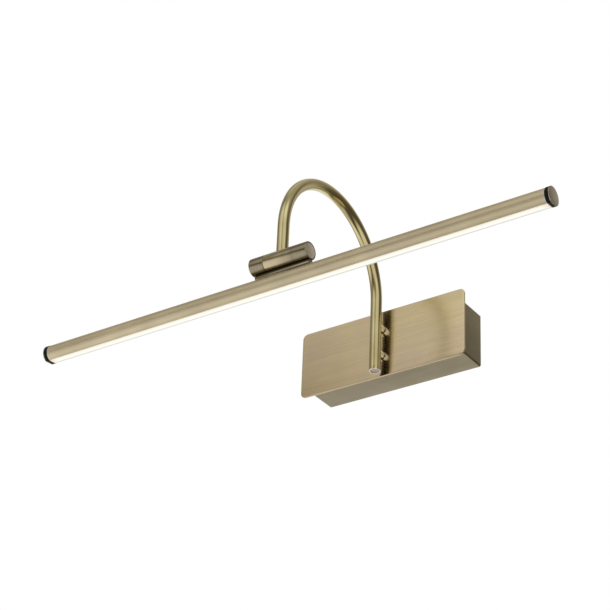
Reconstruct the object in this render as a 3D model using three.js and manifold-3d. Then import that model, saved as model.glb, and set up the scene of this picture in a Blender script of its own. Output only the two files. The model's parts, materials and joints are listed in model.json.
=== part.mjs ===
// Wall picture light: flat front plate on a shallow wall box, a swan-neck arm on two short
// standoffs, and a long LED head that tilts on a three-knuckle pivot barrel.
// Millimetres. Origin on the wall, behind the box's centre. +X along the head, +Y into the
// wall, +Z up, so the whole lamp lies at negative Y.
import * as THREE from 'three';
import { mergeVertices } from 'three/addons/utils/BufferGeometryUtils.js';
import Module from 'manifold-3d';

const wasm = await Module();
wasm.setup();

// Clearance left between neighbouring pieces, and the overrun of every cutting tool.
const GAP = 0.3;
const OVERRUN = 1;
const QUARTER_TURN = Math.PI / 2;

// Front plate
const PLATE_W = 200;
const PLATE_H = 77;
const PLATE_T = 2;
const PLATE_CORNER_R = 6;
const PLATE_EDGE = 0.4;
const PLATE_FRONT_Y = -46.5;
const PLATE_BACK_Y = PLATE_FRONT_Y + PLATE_T;

// Wall box, a pressed tray open towards the wall
const BOX_W = 186;
const BOX_H = 61;
const BOX_WALL = 1.2;
const BOX_CORNER_R = 2;
const BOX_FRONT_Y = PLATE_BACK_Y + GAP;
const BOX_INSIDE_Y = BOX_FRONT_Y + BOX_WALL;
const BOX_RIM_Y = -0.6;
const SHELL_SCREW_R = 1.9;
const SHELL_SCREW_HEAD_R = 3.6;
const SHELL_SCREW_HEAD_T = 2.2;
const SHELL_SCREW_TIP_Z = 22;
const SHELL_NUT_R = 4;
const SHELL_NUT_T = 3;

// Wall bracket, a flat strap with two tabs that take the box's screws
const BRACKET_W = 178;
const BRACKET_TOP_Z = BOX_H / 2 - BOX_WALL - GAP;
const BRACKET_T = 1.5;
const BRACKET_CORNER_R = 3;
const BRACKET_HOLE_R = 2.2;
const TAB_W = 14;
const TAB_DEPTH = 14;
const TAB_X = 60;
const TAB_SCREW_Y = -8;
const WALL_SLOT_X = 74;
const WALL_SLOT_R = 2.4;
const WALL_SLOT_RUN = 10;

// Mains entry, earth screw and terminal block, all on the bracket
const ENTRY_X = 24;
const ENTRY_R = 7.5;
const GROMMET_R = 10;
const GROMMET_BORE_R = 4;
const GROMMET_T = 2;
const BRACKET_FRONT_Y = -BRACKET_T - GAP;
const BRACKET_SCREW_TIP_Y = -0.4;
const EARTH_X = -30;
const EARTH_WASHER_R = 5;
const EARTH_WASHER_T = 0.8;
const EARTH_SCREW_R = 1.9;
const EARTH_HEAD_R = 3.8;
const EARTH_HEAD_T = 2.5;
const TERMINAL_X = 50;
const TERMINAL_HALF_W = 9;
const TERMINAL_HALF_H = 13;
const TERMINAL_DEPTH = 14;
const TERMINAL_FRONT_Y = BRACKET_FRONT_Y - TERMINAL_DEPTH;
const TERMINAL_MOUTH_X = TERMINAL_X - TERMINAL_HALF_W;
const TERMINAL_SINK = 3;
const TERMINAL_SINK_R = 3.4;
const TERMINAL_FIXING_R = 1.5;
const TERMINAL_FIXING_HEAD_R = 2.9;
const TERMINAL_FIXING_HEAD_T = 2;
const WAY_ZS = [-8.5, 0, 8.5];
const WAY_SIDE = 5.6;
const WAY_DEPTH = 7;
const WAY_WELL_R = 2.6;
const WAY_WIRE_R = 1.7;
const WAY_WIRE_Y = -9;
const WAY_SCREW_R = 1.4;
const WAY_SCREW_HEAD_R = 2.2;
const WAY_SCREW_HEAD_T = 1.6;
const WAY_SCREW_RUN = 3.5;

// LED driver, a flat box stuck to the inside of the box's face by a pad
const DRIVER_X0 = -88;
const DRIVER_X1 = -16;
const DRIVER_Z0 = -14;
const DRIVER_Z1 = 22;
const DRIVER_DEPTH = 18;
const DRIVER_LID_T = 1.5;
const PAD_T = 0.8;
const PAD_SIDE_IN = 8;
const PAD_END_IN = 5;
const PAD_FRONT_Y = BOX_INSIDE_Y + GAP;
const DRIVER_FRONT_Y = PAD_FRONT_Y + PAD_T + GAP;
const DRIVER_BACK_Y = DRIVER_FRONT_Y + DRIVER_DEPTH;
const DRIVER_LID_Y = DRIVER_BACK_Y + GAP;

// Leads: sheath radius, bend radius, and where they leave the driver
const LEAD_R = 1.25;
const LEAD_BEND_R = 4;
const LEAD_START_X = DRIVER_X1 + 0.4;
const LEAD_Y = -29;
const INPUT_TURN_X = 33;
const LEAD_MEET_X = 14;

// Arm: one bent tube in the plane X = 0
const ARM_R = 6;
const ARM_BORE_R = 5;
const ARM_BACK_Y = -57.8;
const ARM_BEND_R = 86.2;
const ARM_BEND_Z = 44.7;
const ARM_FRONT_Y = ARM_BACK_Y - 2 * ARM_BEND_R;
const ARM_BOTTOM_Z = -37.5;
const ARM_TOP_Z = ARM_BEND_Z + ARM_BEND_R;
const ARM_FACE_Y = ARM_BACK_Y + ARM_R;
const PLUG_BREAK = 0.5;
const PLUG_SUNK = 0.3;
const PLUG_RUN = 8;

// Arm fixings: a hollow nipple above and a screw below, each through a round standoff
const UPPER_FIXING_Z = 17;
const LOWER_FIXING_Z = -14;
const STANDOFF_R = 5;
const NIPPLE_R = 3;
const NIPPLE_BORE_R = 1.9;
const NIPPLE_END_Y = -33;
const ARM_SCREW_R = 2;
const ARM_SCREW_HEAD_R = 3.8;
const ARM_SCREW_HEAD_T = 2.6;
const FIXING_TIP_Y = ARM_FACE_Y - 2.2;
const WASHER_T = 1;
const WASHER_Y = BOX_INSIDE_Y + GAP;
const FIXING_SEAT_Y = WASHER_Y + WASHER_T + GAP;
const NIPPLE_WASHER_R = 6.5;
const ARM_SCREW_WASHER_R = 5;
const NIPPLE_NUT_R = 5.8;
const NIPPLE_NUT_T = 3.4;

// Pivot barrel at the arm's front end, its axis along X
const BARREL_Y = ARM_FRONT_Y;
const BARREL_Z = 5.8;
const BARREL_R = 9.7;
const BARREL_HALF = 34;
const KNUCKLE_SEAM_X = 17;
const SEAM_HALF = 0.2;
const PIVOT_R = 4;
const PIVOT_HOLE_R = PIVOT_R + GAP;
const PIVOT_INNER_X = 8;
const CHAMBER_R = 7.5;
const CHAMBER_X = 24;
const CAP_SEAT_X = 30.7;
const CAP_SEAT_R = 8.5;
const CAP_SUNK = 0.2;
const CAP_BREAK = 0.3;
const EDGE_BREAK = 0.35;
const END_BREAK = 0.8;
const ARM_END_Z = BARREL_Z + 2.8;
const WASHER_SEAT = 0.9;
const HEX_R = 6.9;
const BOLT_HEAD_T = 4;
const PIVOT_BORE_R = 2.5;
const PIVOT_NIPPLE_END_X = CHAMBER_X + 2.9;

// Head, built upright in its own frame with the barrel axis at Y = Z = 0
const HEAD_TILT = THREE.MathUtils.degToRad(6);
const HEAD_DROP = 24.25;
const HEAD_R = 9.5;
const HEAD_WALL = 1.2;
const HEAD_FLAT = 8;
const HEAD_LENGTH = 595;
const CAP_T = 2;
const CAP_GROW = 0.5;
const CAP_EDGE = 0.45;
const GASKET_T = 2.2;
const GASKET_GROW = 0.3;
const SPIGOT_RUN = 6;
const SPIGOT_H = 3;
const TUBE_HALF = HEAD_LENGTH / 2 - CAP_T - GASKET_T - 2 * GAP;
const LIP_W = 0.5;
const LIP_T = 1.2;
const DIFFUSER_PROUD = 0.5;
const DIFFUSER_EDGE = 0.15;
const DIFFUSER_FLANGE_T = 0.8;
const BOARD_T = 1.6;
const BOARD_Z = -2.9;
const SHELF_T = 0.8;
const SHELF_IN = 5.6;
const CHIP_PITCH = 15;
const CHIP_HALF_W = 1.4;
const CHIP_HALF_H = 1.75;
const CHIP_T = 0.8;

// Mounting bar between barrel and head: a wide foot on the head, a narrow neck above it
const BAR_X0 = -30;
const BAR_X1 = 34;
const BAR_DEPTH = 8;
const BAR_NECK_DEPTH = 5.6;
const BAR_SHOULDER_Z = -11.9;
const HEAD_SCREW_X = 21.2;
const HEAD_SCREW_R = 1.5;
const HEAD_SCREW_HOLE_R = 1.7;
const HEAD_SCREW_HEAD_R = 2.8;
const HEAD_SCREW_HEAD_T = 1.8;
const HEAD_SCREW_TIP_Z = -PIVOT_R - 1.7;
const LEAD_EXIT_X = 28.5;
const LEAD_HOLE_R = 1.8;

// ---------------------------------------------------------------- solids and meshes

function toSolid(geometry) {
  const plain = geometry.index ? geometry.toNonIndexed() : geometry.clone();
  plain.deleteAttribute('normal');
  plain.deleteAttribute('uv');
  const welded = mergeVertices(plain, 1e-4);
  return new wasm.Manifold(new wasm.Mesh({
    numProp: 3,
    vertProperties: new Float32Array(welded.attributes.position.array),
    triVerts: new Uint32Array(welded.index.array),
  }));
}

function toGeometry(solid) {
  const mesh = solid.getMesh();
  const geometry = new THREE.BufferGeometry();
  geometry.setAttribute('position', new THREE.BufferAttribute(mesh.vertProperties, 3));
  geometry.setIndex(new THREE.BufferAttribute(mesh.triVerts, 1));
  geometry.computeVertexNormals();
  return geometry;
}

const FINISH = {
  brass: { color: 0x8a7650, metalness: 0.9, roughness: 0.38 },
  brassDark: { color: 0x6d5f49, metalness: 0.9, roughness: 0.4 },
  steel: { color: 0x9a9c9e, metalness: 0.9, roughness: 0.4 },
  black: { color: 0x14130f, metalness: 0.0, roughness: 0.6 },
  white: { color: 0xe8e6dc, metalness: 0.0, roughness: 0.5 },
  opal: { color: 0xfdf8ea, metalness: 0.0, roughness: 0.5 },
};

function addPiece(group, name, solid, finish) {
  const mesh = new THREE.Mesh(toGeometry(solid), new THREE.MeshStandardMaterial(FINISH[finish]));
  mesh.name = name;
  group.add(mesh);
}

// ---------------------------------------------------------------- primitive solids

function box(x0, x1, y0, y1, z0, z1) {
  const geometry = new THREE.BoxGeometry(x1 - x0, y1 - y0, z1 - z0);
  geometry.translate((x0 + x1) / 2, (y0 + y1) / 2, (z0 + z1) / 2);
  return toSolid(geometry);
}

// Turns a solid made along +Y so that it runs along the named axis.
function alongAxis(geometry, axis) {
  if (axis === 'x') geometry.rotateZ(-QUARTER_TURN);
  if (axis === 'z') geometry.rotateX(QUARTER_TURN);
  return geometry;
}

// A round bar from `start` to `end` along an axis; `at` is any point on the axis line.
function rod(axis, radius, start, end, at, sides = 24) {
  const geometry = new THREE.CylinderGeometry(radius, radius, end - start, sides);
  alongAxis(geometry, axis);
  const centre = at.clone();
  centre[axis] = (start + end) / 2;
  geometry.translate(centre.x, centre.y, centre.z);
  return toSolid(geometry);
}

// A turned solid: `profile` gives [radius, position along the axis] from axis to axis.
function turned(axis, profile, at, sides = 48) {
  const points = profile.map(([radius, along]) => new THREE.Vector2(radius, along));
  const geometry = alongAxis(new THREE.LatheGeometry(points, sides), axis);
  const centre = at.clone();
  centre[axis] = 0;
  geometry.translate(centre.x, centre.y, centre.z);
  return toSolid(geometry);
}

function ring(axis, outer, inner, start, end, at, sides = 24) {
  const hole = rod(axis, inner, start - OVERRUN, end + OVERRUN, at, sides);
  return rod(axis, outer, start, end, at, sides).subtract(hole);
}

// An upright plate cut from a shape in X and Z, between two depths.
function plateFrom(shape, y0, y1) {
  const geometry = new THREE.ExtrudeGeometry(shape, {
    depth: y1 - y0,
    bevelEnabled: false,
    curveSegments: 5,
  });
  geometry.rotateX(QUARTER_TURN);
  geometry.translate(0, y1, 0);
  return toSolid(geometry);
}

function roundedShape(width, height, radius) {
  const w = width / 2;
  const h = height / 2;
  const shape = new THREE.Shape();
  shape.moveTo(-w + radius, -h);
  shape.lineTo(w - radius, -h);
  shape.absarc(w - radius, -h + radius, radius, -QUARTER_TURN, 0, false);
  shape.lineTo(w, h - radius);
  shape.absarc(w - radius, h - radius, radius, 0, QUARTER_TURN, false);
  shape.lineTo(-w + radius, h);
  shape.absarc(-w + radius, h - radius, radius, QUARTER_TURN, Math.PI, false);
  shape.lineTo(-w, -h + radius);
  shape.absarc(-w + radius, -h + radius, radius, Math.PI, 3 * QUARTER_TURN, false);
  return shape;
}

// A straight extrusion along X of an outline given as Vector2(y, z).
function extrusion(outline, x0, x1) {
  const geometry = new THREE.ExtrudeGeometry(new THREE.Shape(outline), {
    depth: x1 - x0,
    bevelEnabled: false,
  });
  const basis = new THREE.Matrix4().makeBasis(
    new THREE.Vector3(0, 1, 0),
    new THREE.Vector3(0, 0, 1),
    new THREE.Vector3(1, 0, 0),
  );
  geometry.applyMatrix4(basis);
  geometry.translate(x0, 0, 0);
  return toSolid(geometry);
}

// Points along straight runs joined by circular bends; each corner is {at, bend}.
function routed(corners, stepsPerBend) {
  const points = [corners[0].at.clone()];
  for (let i = 1; i < corners.length - 1; i += 1) {
    const { at, bend } = corners[i];
    const into = at.clone().sub(corners[i - 1].at).normalize();
    const out = corners[i + 1].at.clone().sub(at).normalize();
    const turn = into.angleTo(out);
    const setback = bend * Math.tan(turn / 2);
    const start = at.clone().addScaledVector(into, -setback);
    const side = out.clone().addScaledVector(into, -out.dot(into)).normalize();
    for (let step = 0; step <= stepsPerBend; step += 1) {
      const angle = turn * step / stepsPerBend;
      const point = start.clone().addScaledVector(into, bend * Math.sin(angle));
      point.addScaledVector(side, bend * (1 - Math.cos(angle)));
      if (point.distanceTo(points[points.length - 1]) > 1e-3) points.push(point);
    }
  }
  points.push(corners[corners.length - 1].at.clone());
  return points;
}

// A route through given points: one stop per point, however far apart they are.
class Route extends THREE.Curve {
  constructor(points) {
    super();
    this.points = points;
    this.steps = points.length - 1;
  }

  getPoint(t) {
    return this.points[Math.round(t * this.steps)].clone();
  }

  getPointAt(u) {
    return this.getPoint(u);
  }

  getTangentAt(u) {
    const i = Math.round(u * this.steps);
    const here = this.points[i];
    const ahead = this.points[Math.min(i + 1, this.steps)].clone().sub(here).normalize();
    const behind = here.clone().sub(this.points[Math.max(i - 1, 0)]).normalize();
    return ahead.add(behind).normalize();
  }
}

// A round bar swept along a list of points, with flat ends.
function swept(points, radius, sides) {
  const route = new Route(points);
  const section = new THREE.Shape();
  for (let s = 0; s < sides; s += 1) {
    const angle = 2 * Math.PI * s / sides;
    const corner = [radius * Math.cos(angle), radius * Math.sin(angle)];
    if (s === 0) section.moveTo(...corner);
    else section.lineTo(...corner);
  }
  section.closePath();
  return toSolid(new THREE.ExtrudeGeometry(section, { steps: route.steps, extrudePath: route }));
}

// A screw along an axis: shank from `tip` to `seat`, domed head from `seat` to `top`,
// with a cross recess. `top` may lie on either side of the seat.
function screw(axis, shankR, headR, tip, seat, top, at) {
  const headT = top - seat;
  const profile = [
    [0, tip],
    [shankR, tip],
    [shankR, seat],
    [headR, seat],
    [headR, seat + headT * 0.55],
    [headR * 0.7, top],
    [0, top],
  ];
  const flipped = top < tip;
  const body = turned(axis, flipped ? profile.reverse() : profile, at, 16);
  const slotDepth = Math.abs(headT) * 0.5;
  const low = Math.min(top, top - Math.sign(headT) * slotDepth);
  const high = Math.max(top, top - Math.sign(headT) * slotDepth);
  const arm = headR * 0.55;
  const thin = headR * 0.14;
  const others = ['x', 'y', 'z'].filter((name) => name !== axis);
  let result = body;
  for (const long of others) {
    const lo = new THREE.Vector3();
    const hi = new THREE.Vector3();
    for (const name of others) {
      const reach = name === long ? arm : thin;
      lo[name] = at[name] - reach;
      hi[name] = at[name] + reach;
    }
    lo[axis] = low - (headT < 0 ? OVERRUN : 0);
    hi[axis] = high + (headT > 0 ? OVERRUN : 0);
    result = result.subtract(box(lo.x, hi.x, lo.y, hi.y, lo.z, hi.z));
  }
  return result;
}

const lamp = new THREE.Group();
lamp.name = 'picture_light';
const wallUnit = new THREE.Group();
wallUnit.name = 'wall_unit';
lamp.add(wallUnit);

const onFixing = (z) => new THREE.Vector3(0, 0, z);

// ---------------------------------------------------------------- bracket on the wall

function wallBracket() {
  let strap = plateFrom(roundedShape(BRACKET_W, 2 * BRACKET_TOP_Z, BRACKET_CORNER_R), -BRACKET_T, 0);
  const entry = rod('y', ENTRY_R, -BRACKET_T - OVERRUN, OVERRUN, new THREE.Vector3(ENTRY_X, 0, 0));
  strap = strap.subtract(entry);
  for (const side of [-1, 1]) {
    const slot = new THREE.Shape();
    const x = side * WALL_SLOT_X;
    const half = WALL_SLOT_RUN / 2;
    slot.absarc(x + half, 0, WALL_SLOT_R, -QUARTER_TURN, QUARTER_TURN, false);
    slot.absarc(x - half, 0, WALL_SLOT_R, QUARTER_TURN, 3 * QUARTER_TURN, false);
    strap = strap.subtract(plateFrom(slot, -BRACKET_T - OVERRUN, OVERRUN));
    const tabX = side * TAB_X;
    const tab = box(
      tabX - TAB_W / 2, tabX + TAB_W / 2, -TAB_DEPTH, -BRACKET_T / 2,
      BRACKET_TOP_Z - BRACKET_T, BRACKET_TOP_Z,
    );
    const hole = rod('z', BRACKET_HOLE_R, 0, BOX_H, new THREE.Vector3(tabX, TAB_SCREW_Y, 0));
    strap = strap.add(tab).subtract(hole);
  }
  for (const x of [EARTH_X, TERMINAL_X]) {
    const hole = rod('y', BRACKET_HOLE_R, -BRACKET_T - OVERRUN, OVERRUN, new THREE.Vector3(x, 0, 0));
    strap = strap.subtract(hole);
  }
  return strap;
}

addPiece(wallUnit, 'wall_bracket', wallBracket(), 'steel');

function entryGrommet() {
  const at = new THREE.Vector3(ENTRY_X, 0, 0);
  const flange = ring('y', GROMMET_R, GROMMET_BORE_R, BRACKET_FRONT_Y - GROMMET_T, BRACKET_FRONT_Y, at);
  const neckStart = BRACKET_FRONT_Y - 0.1;
  return flange.add(ring('y', ENTRY_R - GAP, GROMMET_BORE_R, neckStart, -0.4, at));
}
addPiece(wallUnit, 'entry_grommet', entryGrommet(), 'black');

const earthAt = new THREE.Vector3(EARTH_X, 0, 0);
const earthSeatY = BRACKET_FRONT_Y - EARTH_WASHER_T;
addPiece(
  wallUnit, 'earth_washer',
  ring('y', EARTH_WASHER_R, BRACKET_HOLE_R, earthSeatY, BRACKET_FRONT_Y, earthAt), 'steel',
);
const earthHeadY = earthSeatY - GAP;
addPiece(
  wallUnit, 'earth_screw',
  screw(
    'y', EARTH_SCREW_R, EARTH_HEAD_R, BRACKET_SCREW_TIP_Y, earthHeadY, earthHeadY - EARTH_HEAD_T, earthAt,
  ),
  'brass',
);

const terminalAt = new THREE.Vector3(TERMINAL_X, 0, 0);
const wayAt = (z) => new THREE.Vector3(TERMINAL_X + WAY_SIDE, 0, z);

function terminalBlock() {
  const mouthY = TERMINAL_FRONT_Y - OVERRUN;
  let block = box(
    TERMINAL_MOUTH_X, TERMINAL_X + TERMINAL_HALF_W,
    TERMINAL_FRONT_Y, BRACKET_FRONT_Y, -TERMINAL_HALF_H, TERMINAL_HALF_H,
  );
  for (const z of WAY_ZS) {
    const wireHole = new THREE.Vector3(0, WAY_WIRE_Y, z);
    const mouthX = TERMINAL_MOUTH_X;
    block = block
      .subtract(rod('y', WAY_WELL_R, mouthY, TERMINAL_FRONT_Y + WAY_DEPTH, wayAt(z)))
      .subtract(rod('x', WAY_WIRE_R, mouthX - OVERRUN, mouthX + WAY_DEPTH, wireHole, 16));
  }
  const fixing = rod('y', TERMINAL_FIXING_R + GAP, mouthY, 0, terminalAt);
  const sink = rod('y', TERMINAL_SINK_R, mouthY, TERMINAL_FRONT_Y + TERMINAL_SINK, terminalAt);
  return block.subtract(fixing).subtract(sink);
}

addPiece(wallUnit, 'terminal_block', terminalBlock(), 'white');
const sinkFloorY = TERMINAL_FRONT_Y + TERMINAL_SINK;
WAY_ZS.forEach((z, i) => {
  const top = sinkFloorY - WAY_SCREW_HEAD_T;
  const tip = sinkFloorY + WAY_SCREW_RUN;
  const clamp = screw('y', WAY_SCREW_R, WAY_SCREW_HEAD_R, tip, sinkFloorY, top, wayAt(z));
  addPiece(wallUnit, `terminal_screw_${i + 1}`, clamp, 'brass');
});
const fixingSeatY = sinkFloorY - GAP;
addPiece(
  wallUnit, 'terminal_fixing_screw',
  screw(
    'y', TERMINAL_FIXING_R, TERMINAL_FIXING_HEAD_R, BRACKET_SCREW_TIP_Y,
    fixingSeatY, fixingSeatY - TERMINAL_FIXING_HEAD_T, terminalAt,
  ),
  'steel',
);

// ---------------------------------------------------------------- box and front plate

// The arm's two fixing holes, run right through the plate and the box's face.
function withFixingHoles(solid) {
  const y0 = PLATE_FRONT_Y - OVERRUN;
  const y1 = BOX_INSIDE_Y + OVERRUN;
  return solid
    .subtract(rod('y', NIPPLE_R + GAP, y0, y1, onFixing(UPPER_FIXING_Z)))
    .subtract(rod('y', ARM_SCREW_R + GAP, y0, y1, onFixing(LOWER_FIXING_Z)));
}

function boxShell() {
  const outer = plateFrom(roundedShape(BOX_W, BOX_H, BOX_CORNER_R), BOX_FRONT_Y, BOX_RIM_Y);
  const inside = roundedShape(BOX_W - 2 * BOX_WALL, BOX_H - 2 * BOX_WALL, BOX_CORNER_R - BOX_WALL);
  let shell = outer.subtract(plateFrom(inside, BOX_INSIDE_Y, OVERRUN));
  for (const side of [-1, 1]) {
    const at = new THREE.Vector3(side * TAB_X, TAB_SCREW_Y, 0);
    shell = shell.subtract(rod('z', BRACKET_HOLE_R, BRACKET_TOP_Z, BOX_H, at));
  }
  return withFixingHoles(shell);
}

function frontPlate() {
  const shape = roundedShape(PLATE_W, PLATE_H, PLATE_CORNER_R);
  const geometry = new THREE.ExtrudeGeometry(shape, {
    depth: PLATE_T - 2 * PLATE_EDGE,
    bevelThickness: PLATE_EDGE,
    bevelSize: PLATE_EDGE,
    bevelOffset: -PLATE_EDGE,
    bevelSegments: 1,
    curveSegments: 6,
  });
  geometry.rotateX(QUARTER_TURN);
  geometry.translate(0, PLATE_BACK_Y - PLATE_EDGE, 0);
  return withFixingHoles(toSolid(geometry));
}

addPiece(wallUnit, 'box_shell', boxShell(), 'brassDark');
addPiece(wallUnit, 'front_plate', frontPlate(), 'brass');

for (const [label, side] of [['left', -1], ['right', 1]]) {
  const at = new THREE.Vector3(side * TAB_X, TAB_SCREW_Y, 0);
  const seat = BOX_H / 2 + GAP;
  const top = seat + SHELL_SCREW_HEAD_T;
  const shellScrew = screw('z', SHELL_SCREW_R, SHELL_SCREW_HEAD_R, SHELL_SCREW_TIP_Z, seat, top, at);
  addPiece(wallUnit, `shell_screw_${label}`, shellScrew, 'brass');
  const nutTop = BRACKET_TOP_Z - BRACKET_T - GAP;
  const nutHole = rod('z', SHELL_SCREW_R + GAP, 0, BOX_H, at);
  const nut = rod('z', SHELL_NUT_R, nutTop - SHELL_NUT_T, nutTop, at, 6).subtract(nutHole);
  addPiece(wallUnit, `shell_nut_${label}`, nut, 'steel');
}

// ---------------------------------------------------------------- LED driver and its leads

const driverBox = (y0, y1) => box(DRIVER_X0, DRIVER_X1, y0, y1, DRIVER_Z0, DRIVER_Z1);
const pad = box(
  DRIVER_X0 + PAD_SIDE_IN, DRIVER_X1 - PAD_SIDE_IN,
  PAD_FRONT_Y, PAD_FRONT_Y + PAD_T,
  DRIVER_Z0 + PAD_END_IN, DRIVER_Z1 - PAD_END_IN,
);
addPiece(wallUnit, 'driver_pad', pad, 'black');
addPiece(wallUnit, 'driver_case', driverBox(DRIVER_FRONT_Y, DRIVER_BACK_Y), 'white');
addPiece(wallUnit, 'driver_lid', driverBox(DRIVER_LID_Y, DRIVER_LID_Y + DRIVER_LID_T), 'white');

const inputZ = WAY_ZS[0];
const inputPath = routed([
  { at: new THREE.Vector3(LEAD_START_X, LEAD_Y, inputZ) },
  { at: new THREE.Vector3(INPUT_TURN_X, LEAD_Y, inputZ), bend: LEAD_BEND_R },
  { at: new THREE.Vector3(INPUT_TURN_X, WAY_WIRE_Y, inputZ), bend: LEAD_BEND_R },
  { at: new THREE.Vector3(TERMINAL_MOUTH_X + 5, WAY_WIRE_Y, inputZ) },
], 5);
addPiece(wallUnit, 'driver_input_lead', swept(inputPath, LEAD_R, 10), 'black');

// ---------------------------------------------------------------- arm and its fixings

const armAxis = new THREE.Vector3(0, ARM_BACK_Y, 0);

function armRun(bottomZ, endZ) {
  return routed([
    { at: new THREE.Vector3(0, ARM_BACK_Y, bottomZ) },
    { at: new THREE.Vector3(0, ARM_BACK_Y, ARM_TOP_Z), bend: ARM_BEND_R },
    { at: new THREE.Vector3(0, ARM_FRONT_Y, ARM_TOP_Z), bend: ARM_BEND_R },
    { at: new THREE.Vector3(0, ARM_FRONT_Y, endZ) },
  ], 14);
}

function armTube() {
  const outer = swept(armRun(ARM_BOTTOM_Z, ARM_END_Z), ARM_R, 28);
  const bore = swept(armRun(ARM_BOTTOM_Z - OVERRUN, ARM_END_Z - OVERRUN), ARM_BORE_R, 16);
  const y1 = ARM_FACE_Y + OVERRUN;
  return outer
    .subtract(bore)
    .subtract(rod('y', NIPPLE_R + GAP, ARM_BACK_Y, y1, onFixing(UPPER_FIXING_Z)))
    .subtract(rod('y', ARM_SCREW_R + GAP, ARM_BACK_Y, y1, onFixing(LOWER_FIXING_Z)));
}
addPiece(wallUnit, 'arm_tube', armTube(), 'brass');

function armEndPlug() {
  const radius = ARM_BORE_R - GAP;
  const low = ARM_BOTTOM_Z + PLUG_SUNK;
  const high = ARM_BOTTOM_Z + PLUG_RUN;
  return turned('z', [
    [0, low],
    [radius - PLUG_BREAK, low],
    [radius, low + PLUG_BREAK],
    [radius, high],
    [0, high],
  ], armAxis, 28);
}
addPiece(wallUnit, 'arm_end_plug', armEndPlug(), 'brassDark');

// Round collar whose outer end is hollowed to sit on the arm.
function standoff(z, holeR) {
  const end = ARM_FACE_Y - 2.4;
  const collar = ring('y', STANDOFF_R, holeR, end, PLATE_FRONT_Y - GAP, onFixing(z));
  const saddle = rod('z', ARM_R + GAP, z - 10, z + 10, armAxis, 36);
  return collar.subtract(saddle);
}
addPiece(wallUnit, 'upper_standoff', standoff(UPPER_FIXING_Z, NIPPLE_R + GAP), 'brass');
addPiece(wallUnit, 'lower_standoff', standoff(LOWER_FIXING_Z, ARM_SCREW_R + GAP), 'brass');

const upperAt = onFixing(UPPER_FIXING_Z);
const lowerAt = onFixing(LOWER_FIXING_Z);
const fixingWasher = (outer, inner, at) => ring(
  'y', outer, inner + GAP, WASHER_Y, WASHER_Y + WASHER_T, at,
);
const armNipple = ring('y', NIPPLE_R, NIPPLE_BORE_R, FIXING_TIP_Y, NIPPLE_END_Y, upperAt);
addPiece(wallUnit, 'arm_nipple', armNipple, 'steel');
addPiece(wallUnit, 'nipple_washer', fixingWasher(NIPPLE_WASHER_R, NIPPLE_R, upperAt), 'steel');
const nippleNut = rod('y', NIPPLE_NUT_R, FIXING_SEAT_Y, FIXING_SEAT_Y + NIPPLE_NUT_T, upperAt, 6)
  .subtract(rod('y', NIPPLE_R + GAP, PLATE_FRONT_Y, NIPPLE_END_Y, upperAt));
addPiece(wallUnit, 'nipple_nut', nippleNut, 'steel');
addPiece(wallUnit, 'arm_screw_washer', fixingWasher(ARM_SCREW_WASHER_R, ARM_SCREW_R, lowerAt), 'steel');
const armScrewTop = FIXING_SEAT_Y + ARM_SCREW_HEAD_T;
const armScrew = screw(
  'y', ARM_SCREW_R, ARM_SCREW_HEAD_R, FIXING_TIP_Y, FIXING_SEAT_Y, armScrewTop, lowerAt,
);
addPiece(wallUnit, 'arm_screw', armScrew, 'steel');

const armLeadPath = routed([
  { at: new THREE.Vector3(LEAD_START_X, LEAD_Y, UPPER_FIXING_Z) },
  { at: new THREE.Vector3(0, LEAD_Y, UPPER_FIXING_Z), bend: LEAD_BEND_R },
  { at: new THREE.Vector3(0, ARM_BACK_Y, UPPER_FIXING_Z), bend: LEAD_BEND_R },
  { at: new THREE.Vector3(0, ARM_BACK_Y, ARM_TOP_Z), bend: ARM_BEND_R },
  { at: new THREE.Vector3(0, ARM_FRONT_Y, ARM_TOP_Z), bend: ARM_BEND_R },
  { at: new THREE.Vector3(0, ARM_FRONT_Y, BARREL_Z), bend: LEAD_BEND_R },
  { at: new THREE.Vector3(LEAD_MEET_X, ARM_FRONT_Y, BARREL_Z) },
], 8);
addPiece(wallUnit, 'arm_lead', swept(armLeadPath, LEAD_R, 8), 'black');

// ---------------------------------------------------------------- pivot barrel

function centreKnuckle() {
  const at = new THREE.Vector3(0, BARREL_Y, BARREL_Z);
  const half = KNUCKLE_SEAM_X - SEAM_HALF;
  const body = turned('x', [
    [0, -half],
    [BARREL_R - EDGE_BREAK, -half],
    [BARREL_R, -half + EDGE_BREAK],
    [BARREL_R, half - EDGE_BREAK],
    [BARREL_R - EDGE_BREAK, half],
    [0, half],
  ], at, 48);
  const bore = rod('x', PIVOT_HOLE_R, -half - OVERRUN, half + OVERRUN, at);
  const socketZ = ARM_END_Z - GAP;
  const socket = rod('z', ARM_R + GAP, socketZ, BARREL_Z + BARREL_R + OVERRUN, at);
  return body.subtract(bore).subtract(socket);
}

addPiece(wallUnit, 'centre_knuckle', centreKnuckle(), 'brass');

const head = new THREE.Group();
head.name = 'head';
head.position.set(0, BARREL_Y, BARREL_Z);
head.rotation.x = HEAD_TILT;
lamp.add(head);

const barrelAxis = new THREE.Vector3(0, 0, 0);
const tubeAxis = new THREE.Vector3(0, 0, -HEAD_DROP);
const headScrewAt = (side) => new THREE.Vector3(side * HEAD_SCREW_X, 0, 0);
const leadExitAt = new THREE.Vector3(LEAD_EXIT_X, 0, 0);

// Mirrors a solid built on the +X side to the chosen side.
const toSide = (solid, side) => (side < 0 ? solid.mirror([1, 0, 0]) : solid);

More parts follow.
